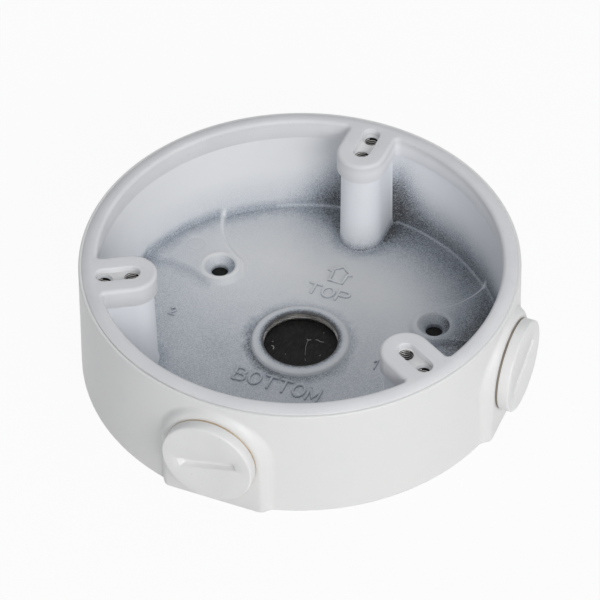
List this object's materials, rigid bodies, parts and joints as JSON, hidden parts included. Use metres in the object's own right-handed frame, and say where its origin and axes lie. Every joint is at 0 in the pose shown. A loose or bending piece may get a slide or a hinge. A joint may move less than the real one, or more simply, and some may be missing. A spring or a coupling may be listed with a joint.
{
  "type": "camera junction box",
  "caption": "Round die-cast surface box for a dome camera, with a rim gasket, tapped posts, screwed side entry plugs and a rubber back pad.",
  "frame": {"origin": "centre of the box's back face, on the wall", "axes": "+Z out of the wall, +Y up the wall (the side marked as top), +X towards the side entry"},
  "size_m": [0.1263, 0.1263, 0.036],
  "materials": {
    "housing_paint": "satin white powder coat, thin and speckled over grey primer deep inside",
    "gasket_silicone": "matt white silicone",
    "pad_rubber": "matt black rubber",
    "plug_nylon": "satin white moulding",
    "seal_rubber": "taupe rubber"
  },
  "bodies": {
    "box": {"housing": "housing_paint", "rim_gasket": "gasket_silicone", "back_pad": "pad_rubber"},
    "bottom_seal_carrier": {"bottom_plug_seal": "seal_rubber"},
    "bottom_plug": {"bottom_entry_plug": "plug_nylon"},
    "side_seal_carrier": {"side_plug_seal": "seal_rubber"},
    "side_plug": {"side_entry_plug": "plug_nylon"}
  },
  "joints": [
    {"name": "bottom_plug_travel", "type": "slide", "parent": "box", "child": "bottom_seal_carrier", "axis": [0, -1, 0], "range_m": [0, 0.00726]},
    {"name": "bottom_plug_turn", "type": "hinge", "parent": "bottom_seal_carrier", "child": "bottom_plug", "pos_m": [0, -0.0616, 0.0177], "axis": [0, -1, 0], "range_deg": [0, 1440]},
    {"name": "side_plug_travel", "type": "slide", "parent": "box", "child": "side_seal_carrier", "axis": [1, 0, 0], "range_m": [0, 0.00726]},
    {"name": "side_plug_turn", "type": "hinge", "parent": "side_seal_carrier", "child": "side_plug", "pos_m": [0.0616, 0, 0.0177], "axis": [1, 0, 0], "range_deg": [0, 1440]}
  ],
  "couplings": [
    {"joint": "bottom_plug_travel", "follows": "bottom_plug_turn", "m_per_rad": 0.00028871},
    {"joint": "side_plug_travel", "follows": "side_plug_turn", "m_per_rad": 0.00028871}
  ]
}
